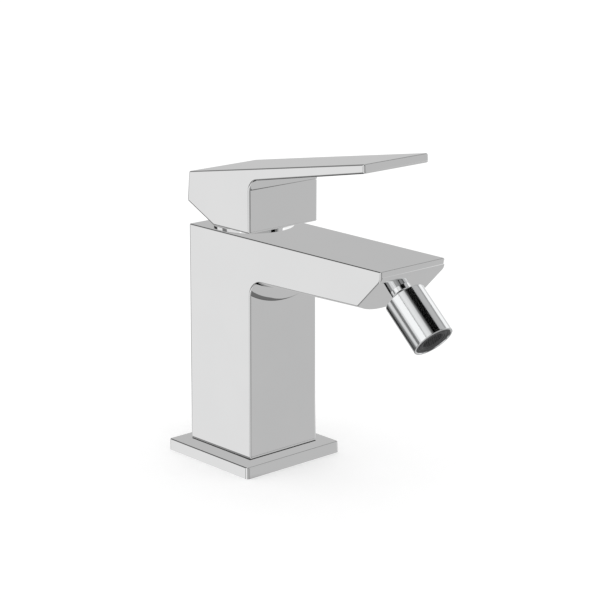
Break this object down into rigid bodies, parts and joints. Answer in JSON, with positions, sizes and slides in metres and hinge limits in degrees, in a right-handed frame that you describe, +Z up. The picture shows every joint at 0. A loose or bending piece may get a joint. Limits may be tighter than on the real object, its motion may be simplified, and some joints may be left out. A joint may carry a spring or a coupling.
{
  "type": "single-lever bidet mixer tap",
  "caption": "Square single-lever deck mixer with a flat block spout, a plate lever and a short nozzle that swivels on a ball joint.",
  "frame": {"origin": "centre of the base plate's underside, on the deck, on the axis of the body's service bore", "axes": "+Z up along the column; -Y towards the nose of the spout; +X to the tap's left, seen from the front"},
  "size_m": [0.062, 0.1656, 0.1688],
  "materials": {
    "body_chrome": "polished chrome plate on cast brass",
    "plate_chrome": "polished chrome plate",
    "handle_chrome": "polished chrome plate on a casting",
    "ring_chrome": "polished chrome plate",
    "nozzle_chrome": "polished chrome plate",
    "brass": "machined brass",
    "steel": "drawn steel",
    "screen_steel": "woven steel mesh",
    "ceramic": "lapped ceramic",
    "white_plastic": "moulded",
    "turret_plastic": "moulded",
    "aerator_plastic": "moulded, fine satin",
    "plug_plastic": "moulded",
    "rubber": "moulded"
  },
  "bodies": {
    "root": {"body_casting": "body_chrome", "base_plate": "plate_chrome", "base_gasket": "rubber", "foot_seal": "rubber", "cartridge_housing": "white_plastic", "cartridge_cap": "white_plastic", "port_seals": "rubber", "fixed_disc": "ceramic", "housing_seal": "rubber", "cartridge_nut": "brass", "cover_ring": "ring_chrome", "cover_ring_seal": "rubber", "ball_nipple": "nozzle_chrome", "nipple_seal": "rubber"},
    "turret": {"turret": "turret_plastic", "pivot_pin": "steel"},
    "disc": {"disc_carrier": "white_plastic", "moving_disc": "ceramic"},
    "lever": {"stem": "brass", "handle": "handle_chrome", "grub_screw": "steel", "screw_plug": "plug_plastic"},
    "nozzle_seal": {"ball_seal": "rubber"},
    "nozzle_seat": {"ball_seat": "white_plastic"},
    "nozzle": {"swivel_sleeve": "nozzle_chrome", "aerator_washer": "rubber", "flow_regulator": "white_plastic", "aerator_screen": "screen_steel", "aerator_housing": "aerator_plastic", "aerator_core": "aerator_plastic"}
  },
  "joints": [
    {"name": "lever_swing", "type": "hinge", "parent": "root", "child": "turret", "pos_m": [0, 0, 0.116], "axis": [0, 0, 1], "range_deg": [-45, 45]},
    {"name": "lever_lift", "type": "hinge", "parent": "turret", "child": "lever", "pos_m": [0, 0.005, 0.116], "axis": [-1, 0, 0], "range_deg": [0, 20]},
    {"name": "disc_slide", "type": "slide", "parent": "turret", "child": "disc", "axis": [0, -1, 0], "range_m": [0, 0.0041]},
    {"name": "nozzle_pitch", "type": "hinge", "parent": "root", "child": "nozzle_seal", "pos_m": [0, -0.11137, 0.10143], "axis": [1, 0, 0], "range_deg": [-11, 17]},
    {"name": "nozzle_sway", "type": "hinge", "parent": "nozzle_seal", "child": "nozzle_seat", "pos_m": [0, -0.11137, 0.10143], "axis": [0, -0.6691, 0.7431], "range_deg": [-14, 14]},
    {"name": "nozzle_spin", "type": "hinge", "parent": "nozzle_seat", "child": "nozzle", "pos_m": [0, -0.11137, 0.10143], "axis": [0, -0.7431, -0.6691], "continuous": true}
  ],
  "couplings": [
    {"joint": "disc_slide", "follows": "lever_lift", "m_per_rad": 0.0115}
  ]
}
